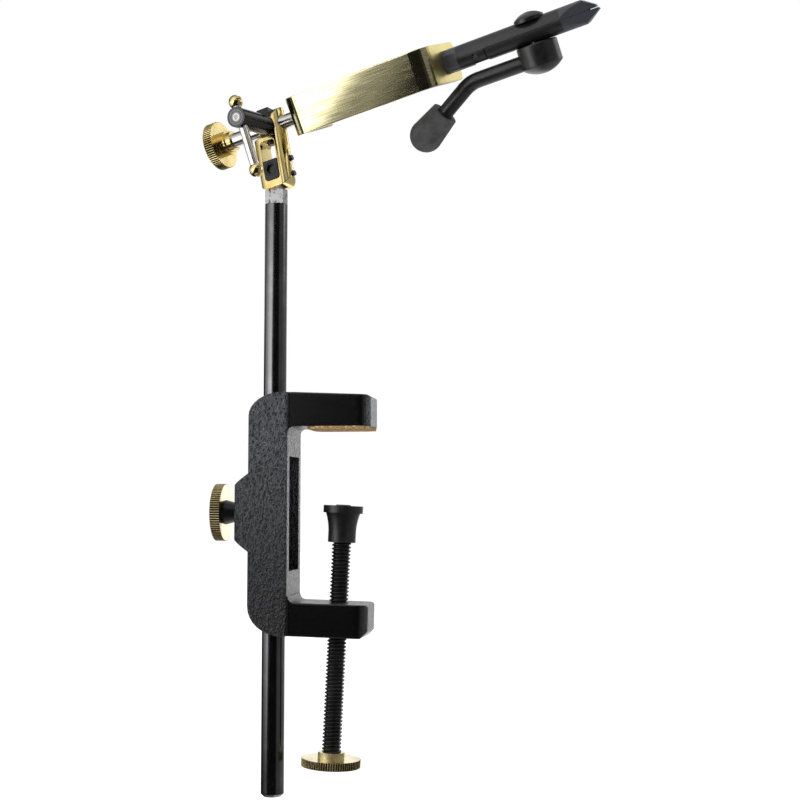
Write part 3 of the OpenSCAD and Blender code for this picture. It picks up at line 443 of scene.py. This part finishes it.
def turnedBrass(name, look, axes=None, rim=None):
    shader = Shader(name, {"Metallic": 1.0})
    place = shader.place()
    cloud = shader.noise(place, look["cloud"], 4)
    tone = shader.mix(cloud.step(0.4, 0.75), look["tint"], look["deep"])
    height = shader.noise(place, 2400) * 0.2
    rough = look["rough"] + cloud * 0.08
    if axes is not None:
        x, y, z = shader.along(axes)
        span = distance(y, z)
        onFace = shader.facing(axes["x"]).step(0.5, 0.9)
        height = height + onFace * shader.maths("SINE", span * (2 * math.pi / look["turning"])) * 0.35
        # painted shade: the hollows between the knurl teeth are darkened, and they are roughened too
        paintedGrooveShade = span.step(rim - look["knurl"] * 0.1, rim - look["knurl"] * 0.5) * (1 - onFace)
        paintedGrooveShade = paintedGrooveShade * span.step(rim - look["knurl"] * 2.2, rim - look["knurl"] * 1.4)
        tone = shader.mix(paintedGrooveShade * 0.95, tone, look["paintedGrooveShade"])
        rough = rough + paintedGrooveShade * 0.3 + (1 - onFace) * look["rimRough"]
    shader.set({"Base Color": tone, "Roughness": rough})
    shader.softened(look["edge"], height, look["relief"])
    return shader


for knobName, knob in knobs.items():
    paint(turnedBrass(knobName + "_brass", **knob), knobName)
paint(turnedBrass("yokeBrass", {**brassLook, "edge": 0.0005}), "yoke")
paint(turnedBrass("ballBrass", brassLook), "tommy_balls", "drag_pad", "lock_pad")


# Crank arm: brass brushed lengthwise, polished where the strokes are thin, satin on the far leg

armLook = dict(tint=colour(238, 228, 184), deep=colour(176, 168, 124), leg=colour(240, 224, 150),
               legStart=(0.07, 0.075), legRough=0.3, rough=0.05, scuffed=0.13, edge=0.0005,
               brushing=1500, relief=0.000004)


def brushedArm(look):
    shader = Shader("brushedArm", {"Metallic": 1.0})
    x, y, z = shader.along(shaftAxes)
    strokes = shader.noise(shader.join(x * 45, y * 400, z * look["brushing"]), 1.0, 3, 0.6)
    scratch = shader.noise(shader.join(x * 130, y * 400, z * look["brushing"] * 1.8), 1.0)
    worn = strokes.step(0.38, 0.68)
    onLeg = shader.facing(shaftAxes["x"]).step(0.9, 0.97) * x.step(*look["legStart"])
    tone = shader.mix((strokes * 0.6 + scratch * 0.4).step(0.36, 0.66), look["tint"], look["deep"])
    rough = look["rough"] + worn * (look["scuffed"] - look["rough"]) + onLeg * look["legRough"]
    shader.set({"Base Color": shader.mix(onLeg, tone, look["leg"]), "Roughness": rough})
    shader.softened(look["edge"], strokes * 0.6 + scratch * 0.5, look["relief"])
    return shader


paint(brushedArm(armLook), "crank_arm")


# Grip: matt rubber

gripLook = dict(tint=colour(84, 84, 85), dark=colour(64, 64, 65), rough=0.6, cloud=240, pores=2600,
                edge=0.0003, relief=0.00003)


def gripRubber(look):
    shader = Shader("gripRubber", {"Metallic": 0.0, "IOR": 1.5})
    place = shader.place()
    cloud = shader.noise(place, look["cloud"], 3)
    pores = shader.noise(place, look["pores"])
    shader.set({"Base Color": shader.mix(cloud.step(0.3, 0.7), look["dark"], look["tint"]),
                "Roughness": look["rough"] + pores * 0.15})
    shader.softened(look["edge"], pores, look["relief"])
    return shader


paint(gripRubber(gripLook), "lever_grip")
print("brass and grip finished")


# Clamp screw with its true thread, and the peened tip that holds the cup

screwSizes = dict(radius=0.00397, root=0.00305, pitch=0.0015, foot=-0.05955, top=0.0421, steps=10, around=48,
                  crest=1.25, flank=2.5, tipRadius=0.0024, tipTop=0.04545, headRadius=0.0031, headTop=0.0467,
                  headEdge=0.0027, headBevel=0.0002)


def threadRadius(sizes, height, share):
    # the radius at a height and a share of a turn, with the thread fading in and out at its ends
    fade = max(0, min(1, (height - sizes["foot"]) / sizes["pitch"], (sizes["top"] - height) / sizes["pitch"]))
    phase = (height / sizes["pitch"] - share) % 1
    ridge = max(0, min(1, sizes["crest"] - sizes["flank"] * abs(phase - 0.5)))
    return sizes["root"] + (sizes["radius"] - sizes["root"]) * ridge * fade


def threadedScrew(name, sizes, axes):
    x, y, z = (Vector(axes[key]) for key in ("x", "y", "z"))
    origin = Vector(axes["origin"])
    count = sizes["around"]
    rings = []
    stretch = sizes["pitch"] / sizes["steps"]
    for ring in range(int((sizes["top"] - sizes["foot"]) / stretch) + 1):
        height = sizes["foot"] + ring * stretch
        rings.append((height, [threadRadius(sizes, height, corner / count) for corner in range(count)]))
    for height, radius in ((sizes["top"], sizes["tipRadius"]), (sizes["tipTop"], sizes["tipRadius"]),
                           (sizes["tipTop"], sizes["headRadius"]),
                           (sizes["headTop"] - sizes["headBevel"], sizes["headRadius"]),
                           (sizes["headTop"], sizes["headEdge"])):
        rings.append((height, [radius] * count))
    points = []
    for height, radii in rings:
        for corner, radius in enumerate(radii):
            turn = 2 * math.pi * corner / count
            points.append(origin + x * height + (y * math.cos(turn) + z * math.sin(turn)) * radius)
    faces = [tuple(reversed(range(count)))]
    for ring in range(len(rings) - 1):
        for corner in range(count):
            after = (corner + 1) % count
            low, high = ring * count, (ring + 1) * count
            faces.append((low + corner, low + after, high + after, high + corner))
    faces.append(tuple((len(rings) - 1) * count + corner for corner in range(count)))
    mesh = bpy.data.meshes.new(name)
    mesh.from_pydata([tuple(point) for point in points], [], faces)
    mesh.validate()
    mesh.update()
    piece = bpy.data.objects.new(name, mesh)
    scene.collection.objects.link(piece)
    return piece


threadedPiece = threadedScrew("clampScrewThread", screwSizes, screwAxes)
threadedPiece.data.materials.append(blackOxide("threadBlack", dict(edge=0.0001)).owner)
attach(threadedPiece, "screw")
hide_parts("clamp_screw")
print("clamp screw threaded")


# Floor and background: white to the camera, plain paper to the object

floorLook = dict(size=6.0, height=cadBox[0][2] - 0.0006, tone=(0.9, 0.9, 0.9, 1), glow=0.88, white=1.3)
worldLook = dict(tone=(1, 1, 1, 1), soft=0.4)


def addFloor(look):
    mesh = bpy.data.meshes.new("floor")
    half = look["size"] / 2
    corners = [(-half, -half, 0), (half, -half, 0), (half, half, 0), (-half, half, 0)]
    mesh.from_pydata(corners, [], [(0, 1, 2, 3)])
    floor = bpy.data.objects.new("floor", mesh)
    floor.location = (0, 0, look["height"])
    floor.visible_glossy = False
    scene.collection.objects.link(floor)
    shader = Shader("floorPaper")
    matt = shader.add("ShaderNodeBsdfDiffuse", {}, {"Color": look["tone"]})
    white = shader.add("ShaderNodeEmission", {}, {"Strength": look["white"]})
    seen = shader.ray("Is Camera Ray") * look["glow"]  # what is left of the matt keeps the shadow
    shader.finish(shader.add("ShaderNodeMixShader", {}, {0: seen, 1: matt, 2: white}))
    mesh.materials.append(shader.owner)


def addWorld(look):
    shader = Shader("studio", world=True)
    seen = shader.maths("MAXIMUM", shader.ray("Is Camera Ray"), shader.ray("Is Glossy Ray"))
    seen = shader.maths("MAXIMUM", seen, shader.ray("Is Transmission Ray"))
    level = look["soft"] + seen * (1 - look["soft"])
    shader.finish(shader.add("ShaderNodeBackground", {}, {"Color": look["tone"], "Strength": level}))
    scene.world = shader.owner


addFloor(floorLook)
addWorld(worldLook)


# Reflection tent: what polished metal sees around the object, as the softboxes and dark walls of a studio.
# Turns and rises are in degrees from the tent's centre, and each pair fades from dark to lit.

tentLook = dict(radius=0.45, centre=(0.02, 0, 0.02), front=-82.0, wall=0.015, count=48)
softbox = dict(low=3.4, high=1.1, highRise=(8, 26), far=0.3, farTurn=(-50, -100),
               turns=[(-120, -100)], rises=[(-36, -8), (75, 55)],
               edge=-39.7, lean=0.714, soft=5, bend=[(-3, 0), (7, 3)], bendShift=7, webShift=5)
webRises = [(-16, -11), (1, -3)]  # the band of the tent that the crank arm's long side mirrors
darkCard = dict(level=0.085, turn=-47.75, rise=-6.3, lean=1.15, soft=1.5)
stripes = dict(dark=0.96, rises=[(-16, -12), (4, 1)], turns=[[(-55, -57), (-62, -60)], [(-73, -76), (-92, -89)]])
cards = {
    "left": dict(level=0.7, turns=[(-126, -132), (-156, -152)], rises=[(6, 12), (34, 28)]),
    "glint": dict(level=0.45, turns=[(-12, -6), (26, 20)], rises=[(31, 36), (50, 46)]),
    "flash": dict(level=1.2, turns=[(42, 46), (80, 74)], rises=[(40, 42), (52, 48)]),
    "side": dict(level=0.2, turns=[(30, 40)], rises=[(-50, -30), (42, 36)]),
    "farSide": dict(level=0.2, turns=[(60, 120)], rises=[(-50, -30), (42, 36)]),
    "lowLoft": dict(level=1.6, turns=[(85, 95), (113, 111)], rises=[(14, 24), (40.4, 39.9)]),
    "highLoft": dict(level=1.6, turns=[(111, 113), (133, 129)], rises=[(39.3, 39.9), (62, 52)]),
    "backLoft": dict(level=1.6, turns=[(135, 138), (156, 150)], rises=[(20, 30), (62, 52)]),
    "behind": dict(level=1.05, turns=[(152, 158)], rises=[(22, 12)]),
    "leftBehind": dict(level=1.05, turns=[(-160, -166)], rises=[]),
    "under": dict(level=0.45, turns=[], rises=[(-52, -64)]),
    "top": dict(level=0.5, turns=[], rises=[(58, 70)]),
}


def tentSphere(look):
    # a globe of triangles at its poles and four-sided faces between them
    radius, count = look["radius"], look["count"]
    rows = count // 2
    points = [(0, 0, radius), (0, 0, -radius)]
    for row in range(1, rows):
        rise = math.pi * row / rows
        for corner in range(count):
            turn = 2 * math.pi * corner / count
            points.append((radius * math.sin(rise) * math.cos(turn), radius * math.sin(rise) * math.sin(turn),
                           radius * math.cos(rise)))
    faces = []
    last = 2 + (rows - 2) * count
    for corner in range(count):
        after = (corner + 1) % count
        faces.append((0, 2 + corner, 2 + after))
        faces.append((1, last + after, last + corner))
        for row in range(rows - 2):
            low = 2 + row * count
            faces.append((low + corner, low + count + corner, low + count + after, low + after))
    mesh = bpy.data.meshes.new("tent")
    mesh.from_pydata(points, [], faces)
    return mesh


def within(level, around, turns, rise, rises):
    for measure, pairs in ((around, turns), (rise, rises)):
        for low, high in pairs:
            level = measure.step(low, high) * level
    return level


def softboxGlow(look, around, rise):
    # the big front softbox, dimmer high up and far left, with the dark card and stripes in front of it
    onWeb = within(1, around, [], rise, webRises)
    edge = rise * look["lean"] + look["edge"] + onWeb * look["webShift"]
    edge = edge + within(look["bendShift"], around, [], rise, look["bend"])
    glow = look["low"] + rise.step(*look["highRise"]) * (look["high"] - look["low"])
    glow = glow * (1 - around.step(*look["farTurn"]) * (1 - look["far"]))
    glow = glow * (edge - around).step(0, look["soft"])
    card = around - (rise - darkCard["rise"]) * darkCard["lean"]
    card = card.step(darkCard["turn"] - darkCard["soft"], darkCard["turn"] + darkCard["soft"])
    glow = glow * (1 - card * onWeb * (1 - darkCard["level"]))
    for turns in stripes["turns"]:
        glow = glow * (1 - within(stripes["dark"], around, turns, rise, stripes["rises"]))
    return within(glow, around, look["turns"], rise, look["rises"])


def addTent(look):
    mesh = tentSphere(look)
    tent = bpy.data.objects.new("tent", mesh)
    tent.location = look["centre"]
    scene.collection.objects.link(tent)
    for ray in ("camera", "diffuse", "transmission", "volume_scatter", "shadow"):
        setattr(tent, "visible_" + ray, False)
    shader = Shader("tentWall")
    x, y, z = shader.split(shader.place())
    turn = math.radians(look["front"])
    ahead = x * math.cos(turn) + y * math.sin(turn)
    right = x * -math.sin(turn) + y * math.cos(turn)
    around = shader.maths("ARCTAN2", right, ahead) * (180 / math.pi)
    rise = shader.maths("ARCSINE", z / look["radius"]) * (180 / math.pi)
    light = look["wall"] + softboxGlow(softbox, around, rise)
    for card in cards.values():
        light = light + within(card["level"], around, card["turns"], rise, card["rises"])
    shader.finish(shader.add("ShaderNodeEmission", {}, {"Strength": light}))
    shader.owner.cycles.emission_sampling = "NONE"
    mesh.materials.append(shader.owner)


addTent(tentLook)


# Lamps at a plain level

lamps = {"keyLamp": dict(place=(-0.75, -0.55, 0.45), size=0.6, power=5.0),
         "fillLamp": dict(place=(0.75, -0.6, 0.25), size=0.7, power=1.6),
         "topLamp": dict(place=(0.0, 0.1, 1.0), size=0.7, power=2.5)}


def addLamp(name, look):
    data = bpy.data.lights.new(name, "AREA")
    data.shape = "DISK"
    data.size = look["size"]
    data.energy = look["power"]
    lamp = bpy.data.objects.new(name, data)
    lamp.location = look["place"]
    lamp.rotation_euler = (-Vector(look["place"])).to_track_quat("-Z", "Y").to_euler()
    lamp.visible_glossy = False
    scene.collection.objects.link(lamp)


for lampName, lampLook in lamps.items():
    addLamp(lampName, lampLook)
print("studio lit")
